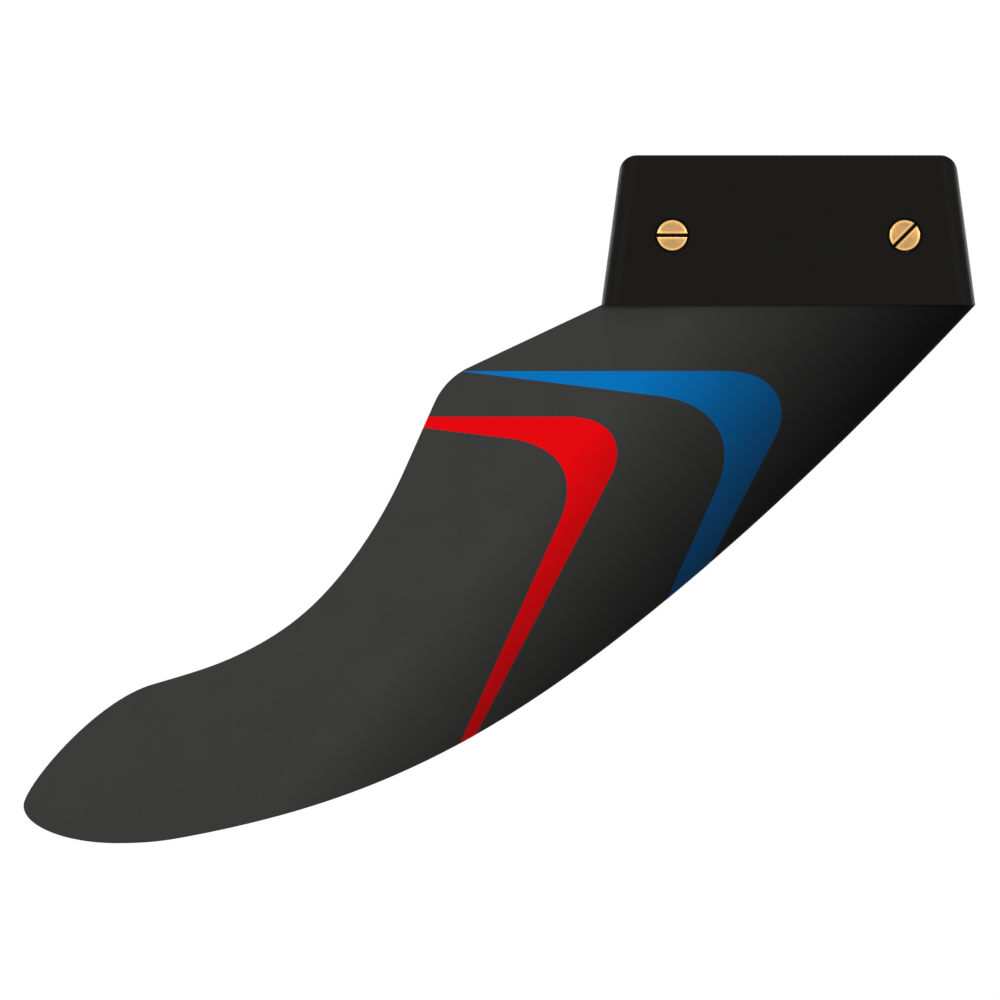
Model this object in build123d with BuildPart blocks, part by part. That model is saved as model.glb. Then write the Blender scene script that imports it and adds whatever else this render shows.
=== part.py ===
import os
from math import cos, radians, sin

from build123d import *

# Windsurf weed fin: a foil blade in a tapered head that two bolts draw into the board.
# Millimetres. The origin is the centre of the head's underside, level with the board's
# bottom. +X points forward, +Z goes up into the board and Y runs across the fin.

# Head
head_length = 140.0
head_top_length = 125.0
head_width = 17.0
head_top_width = 14.5
head_height = 56.0
head_end_radius = 7.2  # seen from above
head_corner_radius = 6.6  # seen from the side
head_top_edge_radius = 0.8

# Bolt holes, which guide the bolt at the top and are wider round the nut
bolt_spacing = 87.0
bolt_hole_diameter = 7.0
bolt_guide_length = 20.0
bolt_relief_diameter = 8.0
bolt_run_out = 8.0

# Barrel nuts and the holes that they lie in
nut_diameter = 12.0
nut_length = 15.0
nut_height = 26.0
nut_clearance = 0.1
nut_hole_edge_break = 0.4
nut_end_edge_break = 0.45
nut_thread_bore = 5.0
nut_slot_width = 1.2
nut_slot_depth = 2.0
rear_slot_angle = 0.0
front_slot_angle = 45.0

# Tang: the blade's part in the head, with a long foot below the bolts' ends and a
# tongue that stands between the nuts
tang_thickness = 10.0
tang_height = 48.0
tang_end_cover = 13.0
tang_bolt_cover = 4.0
tang_nut_cover = 5.5
tang_corner_radius = 3.5
tang_fit = 0.05

# Blade outline, seen from the side
blade_depth = 201.5
tip_reach = 286.3
tip_round_length = 35.1
tip_round_depth = 14.1
front_edge_angle = 46.8
ledge_length = 64.6
ledge_angle = 25.2
shoulder_radius = 26.6
flank_length = 37.2
flank_angle = 66.0
knee_angle = 16.5
knee_to_tip_pull = 22.6
tip_pull = 7.0

# Points on the curved edges, as shares of the tip's reach and the blade's depth
front_edge_shape = [(0.153, 0.540), (0.435, 0.819), (0.661, 0.947), (0.787, 0.988)]
hollow_shape = [(0.571, 0.475), (0.646, 0.587), (0.737, 0.661)]
knee_place = (0.832, 0.705)

# Foil: the pull points of one side's curve, as shares of the chord and of the
# thickness. They give the shape of the four-digit foil formula.
foil_pulls = [(0.0, 0.37), (0.16, 0.63), (0.36, 0.64), (0.75, 0.30)]
thickness_ratio = 0.086  # thickness over chord
rear_edge_thickness = 0.8
section_count = 46
last_section_angle = 87.0

os.makedirs("parts", exist_ok=True)


def direction(angle):
    # downwards and aft, at an angle below the horizontal
    return Vector(-cos(radians(angle)), 0, -sin(radians(angle)))


def outline_point(reach_share, depth_share):
    return Vector(-tip_reach * reach_share, 0, -blade_depth * depth_share)


def front_edge():
    # from the front of the root, round the lowest point, to the tip
    root = Vector(head_length / 2, 0, 0)
    lowest = Vector(tip_round_length - tip_reach, 0, -blade_depth)
    tip_centre = lowest + Vector(0, 0, tip_round_depth)
    along = [outline_point(*place) for place in front_edge_shape]
    with BuildLine(Plane.XZ) as edge:
        Spline(root, *along, lowest, tangents=(direction(front_edge_angle), direction(0)))
        EllipticalCenterArc(tip_centre, tip_round_length, tip_round_depth, 180, arc_size=90)
    return edge.wire()


def rear_edge():
    # from the rear of the root, along the ledge and down the flank, to the tip
    root = Vector(-head_length / 2, 0, 0)
    corner = root + direction(ledge_angle) * ledge_length
    flank_end = corner + direction(flank_angle) * flank_length
    knee = outline_point(*knee_place)
    tip = Vector(-tip_reach, 0, tip_round_depth - blade_depth)
    along = [outline_point(*place) for place in hollow_shape]
    knee_pull = knee + direction(knee_angle) * knee_to_tip_pull
    with BuildLine(Plane.XZ) as edge:
        ledge = Line(root, corner)
        Line(corner, flank_end)
        fillet(edge.vertices().sort_by_distance(ledge @ 1)[0], shoulder_radius)
        Spline(flank_end, *along, knee, tangents=(direction(flank_angle), direction(knee_angle)))
        Bezier(knee, knee_pull, tip + Vector(0, 0, tip_pull), tip)
    return edge.wire()


def foil_section(front_point, rear_point):
    along = rear_point - front_point
    chord = along.length
    thickness = chord * thickness_ratio
    half_edge = rear_edge_thickness / 2
    side = [(0, 0)]
    side += [(chord * x, thickness * y + half_edge * x) for x, y in foil_pulls]
    side += [(chord, half_edge)]
    other_side = [(x, -y) for x, y in side]
    plane = Plane(front_point, x_dir=along, z_dir=along.cross(Vector(0, 1, 0)))
    with BuildSketch(plane) as section:
        with BuildLine():
            Bezier(*reversed(side))
            Bezier(*other_side)
            Line(other_side[-1], side[-1])
        make_face()
    return section.sketch


def blade_sections():
    # each section runs between points at the same share of the two edges' lengths, and
    # even steps of an angle crowd the sections towards the tip
    front = front_edge()
    rear = rear_edge()
    sections = []
    for number in range(section_count):
        share = sin(radians(last_section_angle * number / (section_count - 1)))
        front_point = front.position_at(share * front.length, PositionMode.LENGTH)
        rear_point = rear.position_at(share * rear.length, PositionMode.LENGTH)
        sections.append(foil_section(front_point, rear_point))
    return sections


def head_profile(plane, foot, top, corner_radius=0):
    # the head's tapered outline, on a plane that faces its side or its end
    with BuildSketch(plane) as profile:
        with BuildLine():
            Polyline(
                (-foot / 2, 0),
                (foot / 2, 0),
                (top / 2, head_height),
                (-top / 2, head_height),
                close=True,
            )
        make_face()
        if corner_radius:
            fillet(profile.vertices().group_by(Axis.Y)[-1], corner_radius)
    return profile.sketch


def tang_profile(fit):
    # seen from the side: the foot's ends lean with the head's ends
    lean = (head_length - head_top_length) / 2 / head_height
    step = nut_height - nut_diameter / 2 - bolt_run_out - tang_bolt_cover
    foot_reach = head_length / 2 - tang_end_cover + fit
    step_reach = foot_reach - lean * step
    tongue_reach = (bolt_spacing - nut_diameter) / 2 - tang_nut_cover + fit
    with BuildSketch(Plane.XZ) as profile:
        with BuildLine() as outline:
            Polyline(
                (0, 0),
                (foot_reach, 0),
                (step_reach, step + fit),
                (tongue_reach, step + fit),
                (tongue_reach, tang_height + fit),
                (0, tang_height + fit),
            )
            corners = outline.vertices().filter_by_position(Axis.Y, step, tang_height + fit)
            fillet(corners.group_by(Axis.X)[1:], tang_corner_radius)
            mirror(outline.line, about=Plane.YZ)
        make_face()
    return profile.sketch


def make_nut(reach, slot_angle):
    # a round bar across the fin, with a driver slot in its -Y end and a thread bore
    with BuildPart() as nut:
        with BuildSketch(Plane.XZ):
            Circle(nut_diameter / 2)
        extrude(amount=nut_length / 2, both=True)
        chamfer(nut.edges().filter_by(GeomType.CIRCLE), nut_end_edge_break)
        with BuildSketch(Plane.XZ.offset(nut_length / 2)):
            Rectangle(2 * nut_diameter, nut_slot_width, rotation=slot_angle)
        extrude(amount=-nut_slot_depth, mode=Mode.SUBTRACT)
        with Locations((0, 0, nut_diameter / 2)):
            Hole(nut_thread_bore / 2, nut_diameter)
    return nut.part.moved(Location((reach, 0, nut_height)))


# Blade, with its tang
with BuildPart() as fin_blade:
    loft(blade_sections())
    extrude(tang_profile(0), amount=tang_thickness / 2, both=True)
fin_blade.part.label = "fin_blade"
export_step(fin_blade.part, "parts/fin_blade.step")

# Head: tapered from the side and from the end, with round ends and a socket for the tang
with BuildPart() as fin_head:
    extrude(head_profile(Plane.XZ, head_length, head_top_length), amount=head_width, both=True)
    end_view = head_profile(Plane.YZ, head_width, head_top_width)
    extrude(end_view, amount=head_length, both=True, mode=Mode.INTERSECT)
    uprights = fin_head.edges().group_by(Axis.Z)[1]
    fillet(uprights, head_end_radius)
    fillet(fin_head.faces().sort_by(Axis.Z)[-1].edges(), head_top_edge_radius)
    side_view = head_profile(Plane.XZ, head_length, head_top_length, head_corner_radius)
    extrude(side_view, amount=head_width, both=True, mode=Mode.INTERSECT)
    extrude(tang_profile(tang_fit), amount=tang_thickness / 2 + tang_fit, both=True, mode=Mode.SUBTRACT)

    # the nuts' holes run across
    nut_places = [(-bolt_spacing / 2, nut_height), (bolt_spacing / 2, nut_height)]
    with BuildSketch(Plane.XZ):
        with Locations(*nut_places):
            Circle(nut_diameter / 2 + nut_clearance)
    extrude(amount=head_width, both=True, mode=Mode.SUBTRACT)
    rims = fin_head.edges().filter_by(GeomType.ELLIPSE).group_by(Axis.Y)
    chamfer(rims[0] + rims[-1], nut_hole_edge_break)

    # the bolts' holes come down from the top, past the nuts
    guide_end = head_height - bolt_guide_length
    hole_end = nut_height - nut_diameter / 2 - bolt_run_out
    bolt_places = [(-bolt_spacing / 2, 0), (bolt_spacing / 2, 0)]
    with BuildSketch(Plane.XY.offset(hole_end)):
        with Locations(*bolt_places):
            Circle(bolt_relief_diameter / 2)
    extrude(amount=guide_end - hole_end, mode=Mode.SUBTRACT)
    with BuildSketch(Plane.XY.offset(guide_end)):
        with Locations(*bolt_places):
            Circle(bolt_hole_diameter / 2)
    extrude(amount=bolt_guide_length, mode=Mode.SUBTRACT)
fin_head.part.label = "fin_head"
export_step(fin_head.part, "parts/fin_head.step")

# Barrel nuts
rear_barrel_nut = make_nut(-bolt_spacing / 2, rear_slot_angle)
rear_barrel_nut.label = "rear_barrel_nut"
export_step(rear_barrel_nut, "parts/rear_barrel_nut.step")

front_barrel_nut = make_nut(bolt_spacing / 2, front_slot_angle)
front_barrel_nut.label = "front_barrel_nut"
export_step(front_barrel_nut, "parts/front_barrel_nut.step")
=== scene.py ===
import math

import bmesh
import bpy
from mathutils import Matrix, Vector


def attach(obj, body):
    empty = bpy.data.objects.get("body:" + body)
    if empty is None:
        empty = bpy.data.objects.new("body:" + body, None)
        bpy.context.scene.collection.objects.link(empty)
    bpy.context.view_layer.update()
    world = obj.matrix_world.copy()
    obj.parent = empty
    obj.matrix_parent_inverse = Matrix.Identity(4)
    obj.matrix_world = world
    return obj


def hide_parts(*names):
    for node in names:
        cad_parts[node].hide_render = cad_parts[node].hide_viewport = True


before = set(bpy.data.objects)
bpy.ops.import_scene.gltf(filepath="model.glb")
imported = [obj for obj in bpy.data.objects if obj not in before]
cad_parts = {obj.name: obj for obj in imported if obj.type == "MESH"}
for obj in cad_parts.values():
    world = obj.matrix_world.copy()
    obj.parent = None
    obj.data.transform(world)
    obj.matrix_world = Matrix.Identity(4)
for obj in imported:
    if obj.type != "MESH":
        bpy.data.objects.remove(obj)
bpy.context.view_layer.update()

mm = 0.001
quarterTurn = math.pi / 2
fullTurn = 2 * math.pi
white = (1, 1, 1, 1)

# the two barrel nuts lie this far from the middle and above the head's underside
nutReach = 43.5 * mm
nutHeight = 26.0 * mm


# helpers for node trees


def setSockets(tree, node, inputs):
    # a value is a number, a vector, a data block or another node's output
    for key, value in inputs.items():
        if isinstance(value, bpy.types.NodeSocket):
            tree.links.new(value, node.inputs[key])
        else:
            node.inputs[key].default_value = value


def addNode(tree, kind, inputs=None, **settings):
    node = tree.nodes.new(kind)
    for name, value in settings.items():
        setattr(node, name, value)
    setSockets(tree, node, inputs or {})
    return node


def calc(tree, operation, *terms):
    node = addNode(tree, "ShaderNodeMath", dict(enumerate(terms)), operation=operation)
    return node.outputs[0]


def calcVector(tree, operation, *terms):
    node = addNode(tree, "ShaderNodeVectorMath", dict(enumerate(terms)), operation=operation)
    return node.outputs["Value" if operation in ("LENGTH", "DOT_PRODUCT") else "Vector"]


def scaleVector(tree, vector, factor):
    node = addNode(tree, "ShaderNodeVectorMath", {0: vector, "Scale": factor}, operation="SCALE")
    return node.outputs["Vector"]


def vectorOf(tree, **parts):
    return addNode(tree, "ShaderNodeCombineXYZ", parts).outputs[0]


def partsOf(tree, vector):
    return addNode(tree, "ShaderNodeSeparateXYZ", {"Vector": vector}).outputs


def turnAboutY(tree, vector, angle):
    inputs = {"Vector": vector, "Angle": angle}
    return addNode(tree, "ShaderNodeVectorRotate", inputs, rotation_type="Y_AXIS").outputs[0]


def mapped(tree, value, fromEnds, toEnds=(0.0, 1.0)):
    # from one range to another, held at both ends
    names = ("From Min", "From Max", "To Min", "To Max")
    inputs = {"Value": value, **dict(zip(names, (*fromEnds, *toEnds)))}
    return addNode(tree, "ShaderNodeMapRange", inputs).outputs["Result"]


# helpers for objects and plain meshes


def addObject(name, data):
    item = bpy.data.objects.new(name, data)
    bpy.context.scene.collection.objects.link(item)
    return item


def removeHelper(helper):
    data = helper.data
    bpy.data.objects.remove(helper)
    (bpy.data.curves if isinstance(data, bpy.types.Curve) else bpy.data.meshes).remove(data)


curveSteps = 48  # to each span of a curve


def makeCurve(name, splines, flat=False):
    # a point is (place, left handle, right handle) in mm, and None is a straight handle
    curve = bpy.data.curves.new(name, "CURVE")
    curve.dimensions = "3D"
    curve.resolution_u = curveSteps
    for points, closed in splines:
        spline = curve.splines.new("BEZIER")
        spline.bezier_points.add(len(points) - 1)
        spline.use_cyclic_u = closed
        for point, (place, left, right) in zip(spline.bezier_points, points):
            point.handle_left_type = "FREE" if left else "VECTOR"
            point.handle_right_type = "FREE" if right else "VECTOR"
            for part, spot in (("co", place), ("handle_left", left), ("handle_right", right)):
                x, up = [value * mm for value in spot or place]
                setattr(point, part, (x, up, 0) if flat else (x, 0, up))
    return addObject(name, curve)


def straightPoints(corners):
    return [(corner, None, None) for corner in corners]


def finishMesh(piece, sharpAngle):
    # smooth faces with sharp edges, and a line in the output that says whether it is closed
    piece.data.shade_smooth()
    piece.data.set_sharp_from_angle(angle=math.radians(sharpAngle))
    tool = bmesh.new()
    tool.from_mesh(piece.data)
    openEdges = sum(1 for edge in tool.edges if not edge.is_manifold)
    volume = tool.calc_volume(signed=True) / mm**3
    print(f"{piece.name}: {len(tool.faces)} faces, {openEdges} open edges, {volume:.0f} mm3")
    tool.free()


# helpers for geometry trees


def newGeometryTree(name, sizes, others):
    # sizes are the tree's numbers, whole or not, and others are inputs with their types
    tree = bpy.data.node_groups.new(name, "GeometryNodeTree")
    tree.is_modifier = True
    interface = tree.interface
    interface.new_socket("Geometry", in_out="INPUT", socket_type="NodeSocketGeometry")
    interface.new_socket("Geometry", in_out="OUTPUT", socket_type="NodeSocketGeometry")
    kinds = {size: "Int" if isinstance(value, int) else "Float" for size, value in sizes.items()}
    for socketName, kind in {**others, **kinds}.items():
        interface.new_socket(socketName, in_out="INPUT", socket_type="NodeSocket" + kind)
    return tree, tree.nodes.new("NodeGroupInput").outputs


def endTree(tree, geometry, material):
    plain = addNode(tree, "GeometryNodeRealizeInstances", {"Geometry": geometry}).outputs[0]
    painted = addNode(tree, "GeometryNodeSetMaterial", {"Geometry": plain, "Material": material})
    addNode(tree, "NodeGroupOutput", {"Geometry": painted.outputs[0]})


def runTree(tree, pieceName, values):
    # runs the tree on an empty mesh, and keeps the result as a plain mesh
    host = addObject(pieceName + "Host", bpy.data.meshes.new(pieceName + "Host"))
    modifier = host.modifiers.new("tree", "NODES")
    modifier.node_group = tree
    for item in tree.interface.items_tree:
        if item.in_out == "INPUT" and item.name in values:
            modifier[item.identifier] = values[item.name]
    host.update_tag()
    evaluated = host.evaluated_get(bpy.context.evaluated_depsgraph_get())
    mesh = bpy.data.meshes.new_from_object(evaluated)
    mesh.name = pieceName
    host.modifiers.remove(modifier)
    removeHelper(host)
    return addObject(pieceName, mesh)


def shapeOf(tree, source):
    return addNode(tree, "GeometryNodeObjectInfo", {"Object": source}).outputs["Geometry"]


def meshPosition(tree):
    return addNode(tree, "GeometryNodeInputPosition").outputs[0]


def placed(tree, mesh, place):
    inputs = {"Geometry": mesh, "Position": place}
    return addNode(tree, "GeometryNodeSetPosition", inputs).outputs[0]


def shifted(tree, mesh, offset):
    inputs = {"Geometry": mesh, "Offset": offset}
    return addNode(tree, "GeometryNodeSetPosition", inputs).outputs[0]


def flipped(tree, mesh):
    return addNode(tree, "GeometryNodeFlipFaces", {"Mesh": mesh}).outputs[0]


def welded(tree, mesh, distance):
    inputs = {"Geometry": mesh, "Distance": distance}
    return addNode(tree, "GeometryNodeMergeByDistance", inputs).outputs[0]


def joinMeshes(tree, *meshes):
    joined = tree.nodes.new("GeometryNodeJoinGeometry")
    for mesh in meshes:
        tree.links.new(mesh, joined.inputs[0])
    return joined.outputs[0]


def combine(tree, operation, first, *others):
    # a difference takes its first mesh apart from the rest
    node = addNode(tree, "GeometryNodeMeshBoolean", operation=operation, solver="MANIFOLD")
    firstSocket = "Mesh 1" if operation == "DIFFERENCE" else "Mesh 2"
    tree.links.new(first, node.inputs[firstSocket])
    for other in others:
        tree.links.new(other, node.inputs["Mesh 2"])
    return node.outputs["Mesh"]


def makeTube(tree, around, rows):
    # a tube whose points are placed afterwards, by their row and column
    inputs = {"Vertices": around, "Side Segments": rows}
    return addNode(tree, "GeometryNodeMeshCylinder", inputs, fill_type="NGON").outputs["Mesh"]


def tubePlace(tree, around):
    # row and column of each point of such a tube
    index = addNode(tree, "GeometryNodeInputIndex").outputs[0]
    row = calc(tree, "FLOOR", calc(tree, "DIVIDE", index, around))
    return row, calc(tree, "SUBTRACT", index, calc(tree, "MULTIPLY", row, around))


slabWeld = 0.0001 * mm


def makeSlab(tree, outline, thickness):
    # fills a flat outline, stands it up and makes it a solid about the middle plane
    face = addNode(tree, "GeometryNodeFillCurve", {"Curve": outline}, mode="NGONS").outputs[0]
    back = vectorOf(tree, Y=calc(tree, "MULTIPLY", thickness, 0.5))
    inputs = {"Geometry": face, "Translation": back, "Rotation": (quarterTurn, 0, 0)}
    upright = addNode(tree, "GeometryNodeTransform", inputs).outputs[0]
    inputs = {"Mesh": upright, "Offset Scale": thickness, "Individual": False}
    walls = addNode(tree, "GeometryNodeExtrudeMesh", inputs, mode="FACES").outputs["Mesh"]
    return welded(tree, joinMeshes(tree, walls, flipped(tree, upright)), slabWeld)


print("stage: helpers ready")


# shared effects for the materials


def srgb(red, green, blue):
    # 0 to 255 as on a screen, to the linear values that the shaders mix, by the sRGB rule
    levels = [level / 255 for level in (red, green, blue)]
    return tuple(n / 12.92 if n <= 0.04045 else ((n + 0.055) / 1.055) ** 2.4 for n in levels)


def newShaderGroup(name, inputs, outputs):
    tree = bpy.data.node_groups.new(name, "ShaderNodeTree")
    for socketName, value in inputs.items():
        kind = "NodeSocketColor" if isinstance(value, tuple) else "NodeSocketFloat"
        socket = tree.interface.new_socket(socketName, in_out="INPUT", socket_type=kind)
        socket.default_value = value
    for socketName, kind in outputs.items():
        tree.interface.new_socket(socketName, in_out="OUTPUT", socket_type="NodeSocket" + kind)
    return tree, tree.nodes.new("NodeGroupInput").outputs


def addGroup(tree, group, inputs):
    return addNode(tree, "ShaderNodeGroup", inputs, node_tree=group).outputs


def ownPosition(tree):
    return addNode(tree, "ShaderNodeTexCoord").outputs["Object"]


frontPaintedShade = {
    "across": (0.767, 0.0, -0.642),  # the painted shade's direction
    "start": -25.5,  # mm along that direction
}


def makeFrontShadeGroup():
    # painted shade: the laminate and the print darken towards the front edge, the same on both
    # sides, as the shade on the foil's curve would
    tree, given = newShaderGroup(
        "frontPaintedShade",
        {"Colour": (1.0, 1.0, 1.0, 1.0), "Length": 100.0, "Power": 2.0},
        {"Colour": "Color"},
    )
    along = calcVector(tree, "DOT_PRODUCT", ownPosition(tree), frontPaintedShade["across"])
    past = calc(tree, "SUBTRACT", calc(tree, "DIVIDE", along, mm), frontPaintedShade["start"])
    share = calc(tree, "MAXIMUM", calc(tree, "DIVIDE", past, given["Length"]), 0.0)
    left = calc(tree, "MAXIMUM", calc(tree, "SUBTRACT", 1.0, share), 0.0)
    level = calc(tree, "POWER", left, given["Power"])
    addNode(tree, "NodeGroupOutput", {"Colour": scaleVector(tree, given["Colour"], level)})
    return tree


noise = {
    "detail": 3.0,
    "roughness": 0.55,
    "usualEnds": (0.35, 0.65),  # most of the noise lies between these
    "cloudScale": 55.0,
    "scratchShare": 0.6,
    "cloudShare": 0.4,
    "bumpStrength": 0.3,
}


def noiseOn(tree, vector, scale):
    inputs = {"Vector": vector, "Scale": scale}
    inputs.update({"Detail": noise["detail"], "Roughness": noise["roughness"]})
    return addNode(tree, "ShaderNodeTexNoise", inputs).outputs["Fac"]


def spread(tree, mask, low, high):
    return mapped(tree, mask, noise["usualEnds"], (low, high))


def bumpFrom(tree, height, strength, depth):
    inputs = {"Height": height, "Strength": strength, "Distance": depth * mm}
    return addNode(tree, "ShaderNodeBump", inputs).outputs[0]


def makeGrainGroup():
    # fine sanded scratches and broad clouds: a height for bump, a mask for tone and gloss
    tree, given = newShaderGroup(
        "sandedGrain",
        {"Width": 0.4, "Stretch": 6.0, "Angle": 0.0},
        {"Height": "Float", "Mask": "Float"},
    )
    place = ownPosition(tree)
    density = calc(tree, "DIVIDE", 1 / mm, given["Width"])
    lengthwise = calc(tree, "DIVIDE", density, given["Stretch"])
    densities = vectorOf(tree, X=lengthwise, Y=density, Z=density)
    turned = turnAboutY(tree, place, given["Angle"])
    scratches = noiseOn(tree, calcVector(tree, "MULTIPLY", turned, densities), 1.0)
    clouds = noiseOn(tree, place, noise["cloudScale"])
    scratchPart = calc(tree, "MULTIPLY", scratches, noise["scratchShare"])
    cloudPart = calc(tree, "MULTIPLY", clouds, noise["cloudShare"])
    mask = calc(tree, "ADD", scratchPart, cloudPart)
    addNode(tree, "NodeGroupOutput", {"Height": scratches, "Mask": mask})
    return tree


frontShadeGroup = makeFrontShadeGroup()
grainGroup = makeGrainGroup()


# laminate, paint and resin

waveLength = 0.314  # of Blender's wave texture at scale 1

laminateLook = {
    "colour": (57, 57, 56),
    "specular": 0.05,
    "roughness": (0.36, 0.46),
    "grainWidth": 0.35,  # mm, as all widths and depths here
    "grainStretch": 9.0,
    "grainAngle": math.radians(-38),
    "grainDepth": 0.01,
    "toneChange": 0.05,
    "fibreWidth": 0.9,
    "fibreAngles": (40, -50),
    "fibreWander": 0.8,
    "fibreTone": 0.07,
    "edgeShade": (76.1, 1.33),  # length in mm, and power
}
paintLook = {
    "specular": 0.05,
    "roughness": (0.3, 0.38),
    "grainWidth": 0.6,
    "grainStretch": 1.0,
    "grainAngle": 0.0,
    "grainDepth": 0.006,
    "toneChange": 0.03,
}
blueLook = dict(paintLook, colour=(0, 112, 185), edgeShade=(98.5, 2.04))
redLook = dict(paintLook, colour=(227, 0, 8), edgeShade=(120.0, 2.42))
resinLook = {
    "colour": (20, 19, 18),
    "specular": 0.05,
    "roughness": (0.48, 0.6),
    "grainWidth": 0.3,
    "grainStretch": 12.0,
    "grainAngle": 0.0,
    "grainDepth": 0.02,
    "toneChange": 0.14,
    "rimShade": 0.15,
    "rimRadii": (6.6, 6.9),  # dark inside the first, and full colour past the second
}


def startMaterial(name, look):
    material = bpy.data.materials.new(name)
    material.use_nodes = True
    surface = material.node_tree.nodes["Principled BSDF"]
    surface.inputs["Specular IOR Level"].default_value = look["specular"]
    return material, material.node_tree, surface


def wovenTone(tree, look):
    # crossed fibres that just show through the clear resin
    place = ownPosition(tree)
    scale = waveLength / (look["fibreWidth"] * mm)
    bands = []
    for angle in look["fibreAngles"]:
        turned = turnAboutY(tree, place, math.radians(angle))
        inputs = {"Vector": turned, "Scale": scale, "Distortion": look["fibreWander"]}
        bands.append(addNode(tree, "ShaderNodeTexWave", inputs).outputs["Fac"])
    woven = calc(tree, "MULTIPLY", *bands)
    return mapped(tree, woven, (0.0, 1.0), (1 - look["fibreTone"], 1 + look["fibreTone"]))


def rimShadeTone(tree, look):
    # painted shade: the resin round the two cross holes, and in the holes, is darker, as the gap
    # round each nut is in shade
    place = partsOf(tree, ownPosition(tree))
    across = calc(tree, "SUBTRACT", calc(tree, "ABSOLUTE", place["X"]), nutReach)
    up = calc(tree, "SUBTRACT", place["Z"], nutHeight)
    radius = calcVector(tree, "LENGTH", vectorOf(tree, X=across, Z=up))
    rimEnds = [radiusInMm * mm for radiusInMm in look["rimRadii"]]
    return mapped(tree, radius, rimEnds, (look["rimShade"], 1.0))


def makePlastic(name, look):
    # a toned colour, uneven gloss and a sanded surface
    material, tree, surface = startMaterial(name, look)
    grain = addGroup(tree, grainGroup, {
        "Width": look["grainWidth"],
        "Stretch": look["grainStretch"],
        "Angle": look["grainAngle"],
    })
    tone = spread(tree, grain["Mask"], 1 - look["toneChange"], 1 + look["toneChange"])
    if "fibreWidth" in look:
        tone = calc(tree, "MULTIPLY", tone, wovenTone(tree, look))
    colour = scaleVector(tree, srgb(*look["colour"]), tone)
    # painted shade that darkens the colour towards the front edge
    if "edgeShade" in look:
        length, power = look["edgeShade"]
        inputs = {"Colour": colour, "Length": length, "Power": power}
        colour = addGroup(tree, frontShadeGroup, inputs)["Colour"]
    # painted shade round the two nuts
    if "rimShade" in look:
        colour = scaleVector(tree, colour, rimShadeTone(tree, look))
    setSockets(tree, surface, {
        "Base Color": colour,
        "Roughness": spread(tree, grain["Mask"], *look["roughness"]),
        "Normal": bumpFrom(tree, grain["Height"], noise["bumpStrength"], look["grainDepth"]),
    })
    return material


# brass

brassLook = {
    "colour": (193, 151, 98),
    "edgeHighlightColour": (236, 187, 118),  # painted highlight along the rim and the slot's edges
    "slotShadeColour": (14, 12, 11),
    "rimRadius": 6.0,  # mm, as all lengths here
    "rimBand": 1.2,
    "slotHalf": 0.6,
    "slotBand": 0.85,
    "bandBlur": 0.1,
    "bandUneven": 0.5,
    "patchScale": 420.0,
    "patchChange": 0.04,
    "specular": 0.04,
    "roughness": (0.26, 0.36),
    "turningStep": 0.22,  # between the turning marks
    "turningDepth": 0.008,
    "turningBump": 0.25,
}
outOfBand = 9.0  # mm, which keeps the slot's band off the end that has no slot


def mixColours(tree, share, first, second):
    # in a colour mix, 0 is the share, 6 and 7 are the colours, and output 2 is the result
    inputs = {0: share, 6: first, 7: (*srgb(*second), 1.0)}
    return addNode(tree, "ShaderNodeMix", inputs, data_type="RGBA").outputs[2]


def makeBrass(look):
    # reads two attributes of a nut's mesh: its own place, and the painted shade in its slot
    material, tree, surface = startMaterial("nutBrass", look)
    own = addNode(tree, "ShaderNodeAttribute", attribute_name="ownPlace").outputs["Vector"]
    shadeInSlot = addNode(tree, "ShaderNodeAttribute", attribute_name="slotDirt").outputs["Fac"]
    parts = partsOf(tree, own)
    radius = calcVector(tree, "LENGTH", vectorOf(tree, X=parts["X"], Z=parts["Z"]))
    patches = noiseOn(tree, own, look["patchScale"])
    change = look["patchChange"]
    clean = scaleVector(tree, srgb(*look["colour"]), spread(tree, patches, 1 - change, 1 + change))
    # how far a place lies inside the painted highlight band along the rim or along the slot, in mm
    fromRim = calc(tree, "SUBTRACT", look["rimRadius"], calc(tree, "DIVIDE", radius, mm))
    inRim = calc(tree, "SUBTRACT", look["rimBand"], fromRim)
    acrossSlot = calc(tree, "DIVIDE", calc(tree, "ABSOLUTE", parts["Z"]), mm)
    inSlotBand = calc(tree, "SUBTRACT", look["slotHalf"] + look["slotBand"], acrossSlot)
    farEnd = calc(tree, "MULTIPLY", calc(tree, "GREATER_THAN", parts["Y"], 0.0), outOfBand)
    inBand = calc(tree, "MAXIMUM", inRim, calc(tree, "SUBTRACT", inSlotBand, farEnd))
    uneven = calc(tree, "MULTIPLY", calc(tree, "SUBTRACT", patches, 0.5), look["bandUneven"])
    unevenBand = calc(tree, "SUBTRACT", inBand, uneven)
    # painted highlight: the brass is lighter in these bands
    edge = mapped(tree, unevenBand, (-look["bandBlur"], look["bandBlur"]))
    highlightedBrass = mixColours(tree, edge, clean, look["edgeHighlightColour"])
    turns = calc(tree, "MULTIPLY", radius, fullTurn / (look["turningStep"] * mm))
    marks = calc(tree, "SINE", turns)
    setSockets(tree, surface, {
        # painted shade: the faces inside the slot turn near black and not metal
        "Base Color": mixColours(tree, shadeInSlot, highlightedBrass, look["slotShadeColour"]),
        "Metallic": calc(tree, "SUBTRACT", 1.0, shadeInSlot),
        "Roughness": spread(tree, patches, *look["roughness"]),
        "Normal": bumpFrom(tree, marks, look["turningBump"], look["turningDepth"]),
    })
    return material


laminate = makePlastic("bladeLaminate", laminateLook)
bluePaint = makePlastic("blueStripePaint", blueLook)
redPaint = makePlastic("redStripePaint", redLook)
headResin = makePlastic("headResin", resinLook)
nutBrass = makeBrass(brassLook)
print("stage: materials ready")


# blade: one rule gives every section between the two long edges

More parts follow.
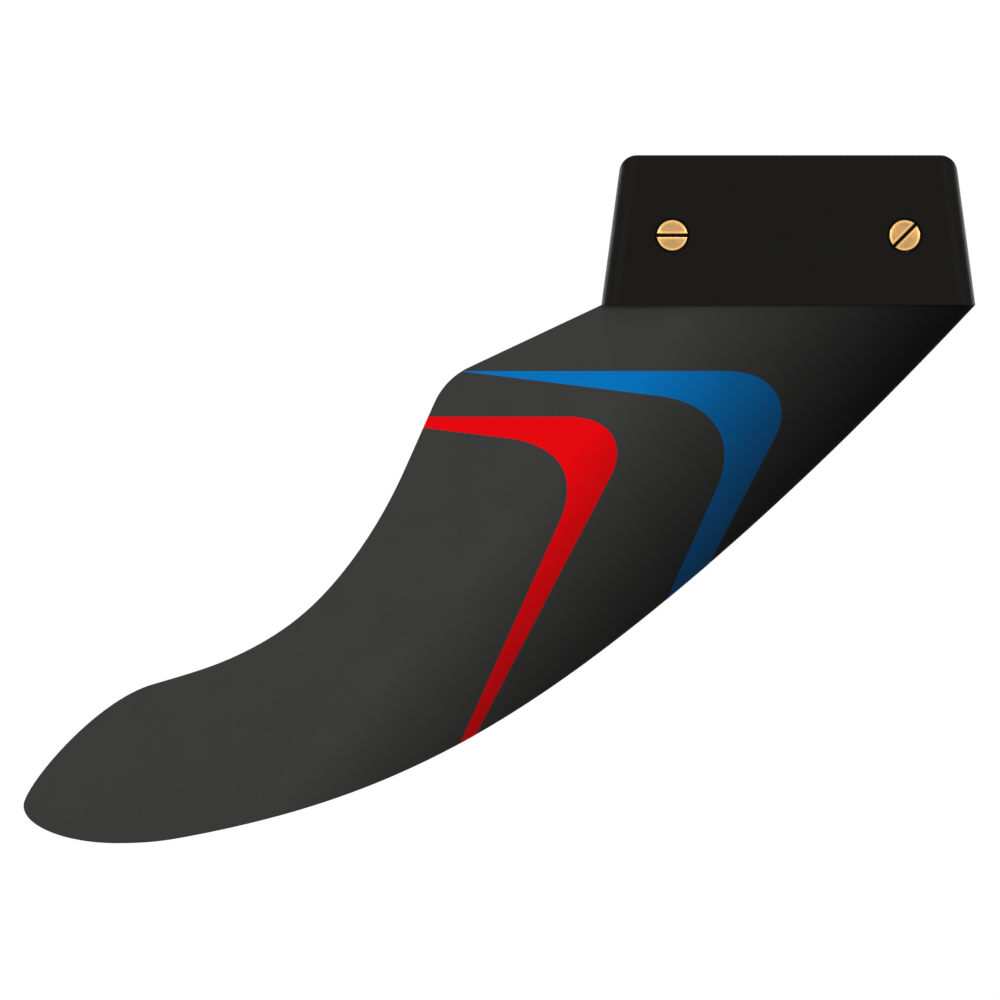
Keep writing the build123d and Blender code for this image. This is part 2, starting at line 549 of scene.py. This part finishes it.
blade = {
    "Points around": 181,  # odd, so that one lies on the front edge
    "Sections": 300,
    "Last angle": math.radians(87),  # the sections crowd towards the tip
    "Thickness ratio": 0.086,  # thickness over chord
    "Rear edge": 0.8 * mm,
}
bladeSharpAngle = 35  # degrees

# the pull points of one side's curve, as shares of the chord and of the thickness
foilPulls = [(0.0, 0.37), (0.16, 0.63), (0.36, 0.64), (0.75, 0.30)]

# the two long edges in mm: place, left handle, right handle
frontEdge = [
    ((70.0, 0.0), None, (33.723, -38.631)),
    ((-43.804, -108.81), (-3.23, -75.163), (-69.156, -129.834)),
    ((-124.541, -165.029), (-95.923, -149.732), (-144.802, -175.859)),
    ((-189.244, -190.821), (-165.992, -184.383), (-201.598, -194.241)),
    ((-225.318, -199.082), (-214.534, -197.072), (-232.893, -200.494)),
    ((-251.2, -201.5), (-239.406, -201.5), (-270.586, -201.5)),
    ((-286.3, -187.4), (-286.3, -195.187), None),
]
rearEdge = [
    ((-70.0, 0.0), None, None),
    ((-119.501, -23.293), None, (-125.275, -26.01)),
    ((-132.476, -36.543), (-129.88, -30.713), None),
    ((-143.582, -61.489), None, (-149.034, -73.733)),
    ((-163.477, -95.713), (-155.625, -85.154), (-169.656, -104.021)),
    ((-184.95, -118.281), (-176.616, -111.796), (-192.98, -124.53)),
    ((-211.003, -133.192), (-202.287, -129.581), (-219.31, -136.632)),
    ((-238.202, -142.058), (-227.081, -138.763), (-259.871, -148.476)),
    ((-286.3, -187.4), (-286.3, -180.4), None),
]


def pointAlong(tree, curves, number, share):
    inputs = {"Curves": curves, "Factor": share, "Curve Index": number}
    return addNode(tree, "GeometryNodeSampleCurve", inputs, mode="FACTOR").outputs["Position"]


def bezierValue(tree, along, pulls):
    # a Bezier curve that starts at 0, from its other pull values
    degree = len(pulls)
    rest = calc(tree, "SUBTRACT", 1.0, along)
    total = 0.0
    for place, pull in enumerate(pulls, start=1):
        near = calc(tree, "POWER", along, float(place))
        far = calc(tree, "POWER", rest, float(degree - place))
        weight = math.comb(degree, place) * pull
        term = calc(tree, "MULTIPLY", calc(tree, "MULTIPLY", near, far), weight)
        total = calc(tree, "ADD", total, term)
    return total


def makeFoilTree():
    # a tube whose rows become sections, and whose columns become lines along the blade
    tree, given = newGeometryTree("foilBetweenEdges", blade, {"Edges": "Object"})
    around = given["Points around"]
    row, column = tubePlace(tree, around)
    rowShare = calc(tree, "DIVIDE", row, given["Sections"])
    share = calc(tree, "SINE", calc(tree, "MULTIPLY", given["Last angle"], rowShare))
    longEdges = shapeOf(tree, given["Edges"])
    front = pointAlong(tree, longEdges, 0, share)
    rear = pointAlong(tree, longEdges, 1, share)
    chordLine = calcVector(tree, "SUBTRACT", rear, front)
    chord = calcVector(tree, "LENGTH", chordLine)
    # from the rear edge on one side, round the front edge, to the rear edge on the other
    half = calc(tree, "MULTIPLY", calc(tree, "SUBTRACT", around, 1.0), 0.5)
    turn = calc(tree, "SUBTRACT", calc(tree, "DIVIDE", column, half), 1.0)
    along = calc(tree, "ABSOLUTE", turn)
    chordShare = bezierValue(tree, along, [x for x, y in foilPulls] + [1.0])
    bulge = bezierValue(tree, along, [y for x, y in foilPulls] + [0.0])
    thickness = calc(tree, "MULTIPLY", chord, given["Thickness ratio"])
    taper = calc(tree, "MULTIPLY", calc(tree, "MULTIPLY", given["Rear edge"], 0.5), chordShare)
    out = calc(tree, "ADD", calc(tree, "MULTIPLY", thickness, bulge), taper)
    sideways = vectorOf(tree, Y=calc(tree, "MULTIPLY", out, calc(tree, "SIGN", turn)))
    onChord = calcVector(tree, "ADD", front, scaleVector(tree, chordLine, chordShare))
    place = calcVector(tree, "ADD", onChord, sideways)
    endTree(tree, placed(tree, makeTube(tree, around, given["Sections"]), place), laminate)
    return tree


edges = makeCurve("bladeEdges", [(frontEdge, False), (rearEdge, False)])
foil = runTree(makeFoilTree(), "foil", {"Edges": edges, **blade})
finishMesh(foil, bladeSharpAngle)
print("stage: foil ready")

# the tang, inside the head: a long low foot, and a tongue between the nuts
tang = {
    "Thickness": 10.0 * mm,
    "Corner radius": 3.5 * mm,
    "Corner steps": 8,
    "Rounded above": 1.0 * mm,  # the corners at the blade stay sharp
}
# its foot starts a hair below the foil's flat root, so that the two join
tangShape = [(57.0, -0.02), (55.929, 8.0), (32.0, 8.0), (32.0, 48.0)]


def makeTangTree():
    tree, given = newGeometryTree("foilWithTang", tang, {"Foil": "Object", "Outline": "Object"})
    height = partsOf(tree, meshPosition(tree))["Y"]
    isRound = calc(tree, "GREATER_THAN", height, given["Rounded above"])
    inputs = {
        "Curve": shapeOf(tree, given["Outline"]),
        "Count": given["Corner steps"],
        "Radius": calc(tree, "MULTIPLY", isRound, given["Corner radius"]),
    }
    rounded = addNode(tree, "GeometryNodeFilletCurve", inputs, mode="POLY").outputs[0]
    solid = makeSlab(tree, rounded, given["Thickness"])
    endTree(tree, combine(tree, "UNION", shapeOf(tree, given["Foil"]), solid), laminate)
    return tree


tangCorners = tangShape + [(-x, up) for x, up in reversed(tangShape)]
tangOutline = makeCurve("tangOutline", [(straightPoints(tangCorners), True)], flat=True)
tangValues = {"Foil": foil, "Outline": tangOutline, **tang}
finBlade = runTree(makeTangTree(), "fin_blade_laminate", tangValues)
finishMesh(finBlade, bladeSharpAngle)
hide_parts("fin_blade")
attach(finBlade, "root")
print("stage: blade ready")


# stripes: thin printed films that follow the blade's skin round its edges

film = {
    "Above the skin": 0.045 * mm,
    "Into the skin": 0.02 * mm,
    "Reach": 40.0 * mm,  # the cutter's thickness, more than the blade's
}
blueOutline = [
    ((-123.0, -24.75), None, None),
    ((-24.15, -24.75), None, (-2.64, -24.75)),
    ((-4.75, -49.04), (0.31, -39.29), None),
    ((-33.73, -104.8), None, None),
    ((-48.9, -117.8), None, None),
    ((-26.96, -68.98), None, (-18.86, -50.93)),
    ((-48.8, -34.03), (-27.43, -36.68), None),
]
redOutline = [
    ((-140.05, -41.83), None, None),
    ((-83.11, -41.83), None, (-65.38, -41.83)),
    ((-66.5, -64.11), (-60.71, -53.03), None),
    ((-120.6, -167.7), None, None),
    ((-126.3, -171.7), None, None),
    ((-86.03, -81.84), None, (-78.3, -64.59)),
    ((-106.33, -49.69), (-84.2, -52.38), None),
    ((-139.65, -45.63), None, None),
]


def makeFilmTree():
    others = {"Foil": "Object", "Outline": "Object", "Paint": "Material"}
    tree, given = newGeometryTree("filmOnFoil", film, others)
    skin = shapeOf(tree, given["Foil"])
    normal = addNode(tree, "GeometryNodeInputNormal").outputs[0]
    inward = calc(tree, "MULTIPLY", given["Into the skin"], -1.0)
    outer = shifted(tree, skin, scaleVector(tree, normal, given["Above the skin"]))
    inner = shifted(tree, skin, scaleVector(tree, normal, inward))
    shell = joinMeshes(tree, outer, flipped(tree, inner))
    cutter = makeSlab(tree, shapeOf(tree, given["Outline"]), given["Reach"])
    endTree(tree, combine(tree, "INTERSECT", shell, cutter), given["Paint"])
    return tree


filmTree = makeFilmTree()
for pieceName, points, paint in (
    ("blue_stripe", blueOutline, bluePaint),
    ("red_stripe", redOutline, redPaint),
):
    outline = makeCurve(pieceName + "Outline", [(points, True)], flat=True)
    values = {"Foil": foil, "Outline": outline, "Paint": paint, **film}
    stripe = runTree(filmTree, pieceName, values)
    finishMesh(stripe, bladeSharpAngle)
    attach(stripe, "root")
    removeHelper(outline)
for helper in (foil, edges, tangOutline):
    removeHelper(helper)
print("stage: stripes ready")


# head: the CAD solid, with its resin

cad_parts["fin_head"].material_slots[0].material = headResin
print("stage: head ready")


# barrel nuts: turned bars with a slot and a real thread

nut = {
    "Points around": 96,
    "Half length": 7.5 * mm,
    "Slot width": 1.2 * mm,
    "Slot depth": 2.0 * mm,
    "Slot lead-in": 0.3 * mm,
    "Slot length": 16.0 * mm,  # the cutter's, more than the bar's diameter
    "Thread core": 2.5 * mm,
    "Thread outside": 3.05 * mm,
    "Thread pitch": 1.0 * mm,
    "Thread run": 14.0 * mm,  # the cutter's, more than the bar's diameter
    "Rows to a pitch": 10,
    "Flare apex": 2.35 * mm,  # the height where the mouths' cones would come to a point
}
# half outline of the bar in mm: radius, and place along its axis; its middle fits the hole
nutOutline = [
    (5.5, -7.5), (5.64, -7.45), (5.93, -7.14), (6.0, -6.98), (6.0, -3.2), (6.1, -2.9),
    (6.1, 2.9), (6.0, 3.2), (6.0, 6.98), (5.93, 7.14), (5.64, 7.45), (5.5, 7.5),
]
nutPlaces = {  # name: (node, x, slot angle)
    "rear_nut_turned": ("rear_barrel_nut", -nutReach, 0.0),
    "front_nut_turned": ("front_barrel_nut", nutReach, math.radians(45)),
}
threadFlank = (0.12, 0.8)  # the flank's ends, as shares of half a pitch
betweenRows = 0.25  # tells the slot block's outer rows from its middle row
mouthWidening = 4.0  # lead-ins, two a side, as the mouth's row stands one outside the bar
slotTolerance = 0.01 * mm
nutWeld = 0.0005 * mm
nutSharpAngle = 30  # degrees


def ringPlaces(tree, around):
    # row number, and the angle of each point of a tube
    row, column = tubePlace(tree, around)
    return row, calc(tree, "MULTIPLY", calc(tree, "DIVIDE", column, around), fullTurn)


def onCircle(tree, angle, radius):
    x = calc(tree, "MULTIPLY", radius, calc(tree, "COSINE", angle))
    return x, calc(tree, "MULTIPLY", radius, calc(tree, "SINE", angle))


def makeBar(tree, given):
    # its outline turned about Y
    row, angle = ringPlaces(tree, given["Points around"])
    outline = shapeOf(tree, given["Outline"])
    inputs = {"Geometry": outline, "Value": meshPosition(tree), "Index": row}
    sample = addNode(tree, "GeometryNodeSampleIndex", inputs, data_type="FLOAT_VECTOR")
    spot = partsOf(tree, sample.outputs["Value"])
    x, z = onCircle(tree, angle, spot["X"])
    tube = makeTube(tree, given["Points around"], given["Outline rows"])
    return placed(tree, tube, vectorOf(tree, X=x, Y=spot["Y"], Z=z))


def makeThread(tree, given):
    # a rod whose radius follows a helix, with a flare at both mouths; it cuts the bar
    run, pitch, core = given["Thread run"], given["Thread pitch"], given["Thread core"]
    row, angle = ringPlaces(tree, given["Points around"])
    rows = calc(tree, "DIVIDE", calc(tree, "MULTIPLY", run, given["Rows to a pitch"]), pitch)
    rowShare = calc(tree, "SUBTRACT", calc(tree, "DIVIDE", row, rows), 0.5)
    up = calc(tree, "MULTIPLY", run, rowShare)
    angleShare = calc(tree, "DIVIDE", angle, fullTurn)
    turns = calc(tree, "SUBTRACT", calc(tree, "DIVIDE", up, pitch), angleShare)
    saw = calc(tree, "MULTIPLY", calc(tree, "FRACT", turns), 2.0)
    wave = calc(tree, "ABSOLUTE", calc(tree, "SUBTRACT", saw, 1.0))
    depth = calc(tree, "SUBTRACT", given["Thread outside"], core)
    cut = calc(tree, "MULTIPLY", depth, mapped(tree, wave, threadFlank))
    flare = calc(tree, "SUBTRACT", calc(tree, "ABSOLUTE", up), given["Flare apex"])
    radius = calc(tree, "MAXIMUM", calc(tree, "ADD", core, cut), flare)
    x, y = onCircle(tree, angle, radius)
    tube = makeTube(tree, given["Points around"], rows)
    return flipped(tree, placed(tree, tube, vectorOf(tree, X=x, Y=y, Z=up)))


def makeSlot(tree, given):
    # a block in three rows along Y, wide at the mouth, which cuts the bar's near end
    size = {"Size": (1, 1, 1), "Vertices X": 2, "Vertices Y": 3, "Vertices Z": 2}
    block = addNode(tree, "GeometryNodeMeshCube", size).outputs["Mesh"]
    leadIn = given["Slot lead-in"]
    spot = partsOf(tree, meshPosition(tree))
    mouth = calc(tree, "LESS_THAN", spot["Y"], -betweenRows)
    bottom = calc(tree, "GREATER_THAN", spot["Y"], betweenRows)
    middle = calc(tree, "SUBTRACT", calc(tree, "SUBTRACT", 1.0, mouth), bottom)
    atLeadIn = calc(tree, "MULTIPLY", leadIn, calc(tree, "SUBTRACT", middle, mouth))
    inward = calc(tree, "ADD", calc(tree, "MULTIPLY", given["Slot depth"], bottom), atLeadIn)
    widening = calc(tree, "MULTIPLY", leadIn, calc(tree, "MULTIPLY", mouth, mouthWidening))
    wide = calc(tree, "ADD", given["Slot width"], widening)
    place = vectorOf(
        tree,
        X=calc(tree, "MULTIPLY", spot["X"], given["Slot length"]),
        Y=calc(tree, "SUBTRACT", inward, given["Half length"]),
        Z=calc(tree, "MULTIPLY", spot["Z"], wide),
    )
    turn = vectorOf(tree, Y=calc(tree, "MULTIPLY", given["Slot angle"], -1.0))
    inputs = {"Geometry": placed(tree, block, place), "Rotation": turn}
    return addNode(tree, "GeometryNodeTransform", inputs).outputs[0]


def storeOn(tree, mesh, name, value, kind, domain):
    inputs = {"Geometry": mesh, "Name": name, "Value": value}
    settings = {"data_type": kind, "domain": domain}
    return addNode(tree, "GeometryNodeStoreNamedAttribute", inputs, **settings).outputs[0]


def markForBrass(tree, given, mesh):
    # what the brass reads: its place with the slot along X, and the faces inside the slot, which
    # get painted shade
    own = turnAboutY(tree, meshPosition(tree), given["Slot angle"])
    marked = storeOn(tree, mesh, "ownPlace", own, "FLOAT_VECTOR", "POINT")
    spot = partsOf(tree, own)
    deep = calc(tree, "ADD", spot["Y"], given["Half length"])
    deepest = calc(tree, "ADD", given["Slot depth"], slotTolerance)
    halfWidth = calc(tree, "MULTIPLY", given["Slot width"], 0.5)
    widest = calc(tree, "ADD", halfWidth, slotTolerance)
    pastLeadIn = calc(tree, "GREATER_THAN", deep, given["Slot lead-in"])
    inSlot = calc(tree, "MULTIPLY", pastLeadIn, calc(tree, "LESS_THAN", deep, deepest))
    narrow = calc(tree, "LESS_THAN", calc(tree, "ABSOLUTE", spot["Z"]), widest)
    shadeInSlot = calc(tree, "MULTIPLY", inSlot, narrow)
    return storeOn(tree, marked, "slotDirt", shadeInSlot, "FLOAT", "FACE")


def makeNutTree():
    tree, given = newGeometryTree("barrelNut", nut, {
        "Outline": "Object",
        "Outline rows": "Int",
        "Slot angle": "Float",
        "Place": "Vector",
    })
    bar = makeBar(tree, given)
    turned = combine(tree, "DIFFERENCE", bar, makeThread(tree, given), makeSlot(tree, given))
    marked = markForBrass(tree, given, welded(tree, turned, nutWeld))
    endTree(tree, shifted(tree, marked, given["Place"]), nutBrass)
    return tree


outline = makeCurve("nutOutline", [(straightPoints(nutOutline), False)], flat=True)
nutTree = makeNutTree()
for pieceName, (node, x, slotAngle) in nutPlaces.items():
    turnedNut = runTree(nutTree, pieceName, {
        "Outline": outline,
        "Outline rows": len(nutOutline) - 1,
        "Slot angle": slotAngle,
        "Place": (x, 0.0, nutHeight),
        **nut,
    })
    finishMesh(turnedNut, nutSharpAngle)
    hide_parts(node)
    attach(turnedNut, "root")
removeHelper(outline)
print("stage: nuts ready")


# floor, light and camera

stage = {
    "floorHeight": -0.3,
    "floorHalf": 30.0,
    "floorTone": 0.8,
    "floorRoughness": 0.9,
    "floorGlow": 0.34,  # makes the floor white to the camera, and lights nothing
    "ambient": 0.36,
    "lightAngle": math.radians(11),  # wide, so that the shadows are soft
}
softLights = {  # name: (strength, direction)
    "frontLeftLight": (0.95, (0.62, 0.77, -0.13)),
    "frontRightLight": (0.95, (-0.62, 0.77, -0.13)),
    "backLeftLight": (0.95, (0.62, -0.77, -0.13)),
    "backRightLight": (0.95, (-0.62, -0.77, -0.13)),
    "topLight": (1.0, (0.1, 0.05, -1.0)),
}


def seenDirectly(tree):
    # 1 for rays that show a surface to the camera or in a gloss, and 0 for those that light
    path = addNode(tree, "ShaderNodeLightPath").outputs
    seen = calc(tree, "MAXIMUM", path["Is Camera Ray"], path["Is Glossy Ray"])
    return calc(tree, "MAXIMUM", seen, path["Is Transmission Ray"])


def makeFloor():
    half = stage["floorHalf"]
    corners = [(-half, -half), (half, -half), (half, half), (-half, half)]
    mesh = bpy.data.meshes.new("studioFloor")
    mesh.from_pydata([(x, y, stage["floorHeight"]) for x, y in corners], [], [(0, 1, 2, 3)])
    material = bpy.data.materials.new("paleFloor")
    material.use_nodes = True
    tree = material.node_tree
    tone = stage["floorTone"]
    below = addNode(tree, "ShaderNodeNewGeometry").outputs["Backfacing"]
    setSockets(tree, tree.nodes["Principled BSDF"], {
        "Base Color": (tone, tone, tone, 1),
        "Roughness": stage["floorRoughness"],
        "Specular IOR Level": 0.0,
        "Emission Color": white,
        "Emission Strength": calc(tree, "MULTIPLY", seenDirectly(tree), stage["floorGlow"]),
        "Alpha": calc(tree, "SUBTRACT", 1.0, below),  # clear from below
    })
    mesh.materials.append(material)
    floor = addObject("studioFloor", mesh)


def makeWorld():
    world = bpy.data.worlds.new("studioWorld")
    bpy.context.scene.world = world
    world.use_nodes = True
    tree = world.node_tree
    seen = seenDirectly(tree)
    rest = calc(tree, "MULTIPLY", calc(tree, "SUBTRACT", 1.0, seen), stage["ambient"])
    inputs = {"Color": white, "Strength": calc(tree, "ADD", seen, rest)}
    setSockets(tree, tree.nodes["Background"], inputs)


def addSoftLight(name, strength, direction):
    # a wide, far light: it reaches the fin and the floor evenly
    light = bpy.data.lights.new(name, "SUN")
    light.energy = strength
    light.angle = stage["lightAngle"]
    lamp = addObject(name, light)
    lamp.rotation_euler = Vector(direction).to_track_quat("-Z", "Y").to_euler()


view = {
    "frameWidth": 374.33,  # mm across the picture, at the fin's middle plane
    "centre": (-107.93, 0.0, -73.0),  # mm
    "lens": 1000.0,
    "sensor": 36.0,
    "clip": (0.1, 80.0),  # m
}


def makeCamera():
    camera = bpy.data.cameras.new("sideCamera")
    camera.lens = view["lens"]
    camera.sensor_width = view["sensor"]
    camera.clip_start, camera.clip_end = view["clip"]
    distance = view["frameWidth"] * view["lens"] / view["sensor"] * mm
    shot = addObject("sideCamera", camera)
    shot.location = Vector(view["centre"]) * mm + Vector((0, -distance, 0))
    shot.rotation_euler = (quarterTurn, 0, 0)
    bpy.context.scene.camera = shot


makeFloor()
makeWorld()
for name, (strength, direction) in softLights.items():
    addSoftLight(name, strength, direction)
makeCamera()
bpy.context.scene.view_settings.view_transform = "Standard"
print("stage: floor, lights and camera ready")
